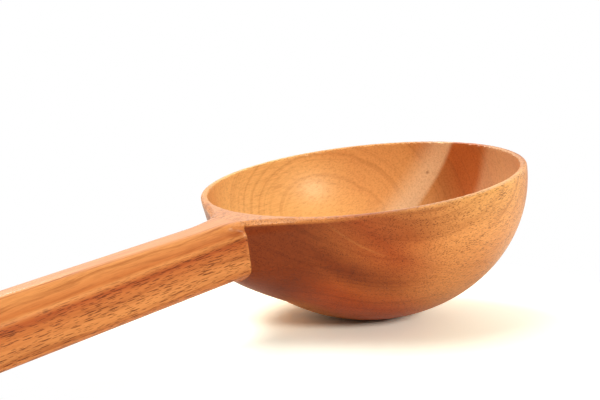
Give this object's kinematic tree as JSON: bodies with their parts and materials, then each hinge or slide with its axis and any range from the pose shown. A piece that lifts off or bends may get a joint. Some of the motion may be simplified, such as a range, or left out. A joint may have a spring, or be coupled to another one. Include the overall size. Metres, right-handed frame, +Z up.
{
  "type": "wooden ladle",
  "caption": "Wooden ladle: a deep round bowl with a rounded rim and a short neck, and a straight eight-sided handle doweled to it, for scooping and serving.",
  "frame": {"origin": "bottom centre of the bounding box, on the surface that the ladle lies on", "axes": "+X from the handle's end towards the bowl, +Z up from the surface, the handle lies in the XZ plane"},
  "size_m": [0.2282, 0.1, 0.0523],
  "materials": {
    "bowl_wood": "oiled satin, reddish brown with fine dark pores",
    "handle_wood": "oiled satin, orange brown with long dark pores",
    "dowel_wood": "bare pale hardwood"
  },
  "bodies": {
    "root": {"bowl": "bowl_wood", "handle": "handle_wood", "joint_dowel": "dowel_wood"}
  },
  "joints": []
}
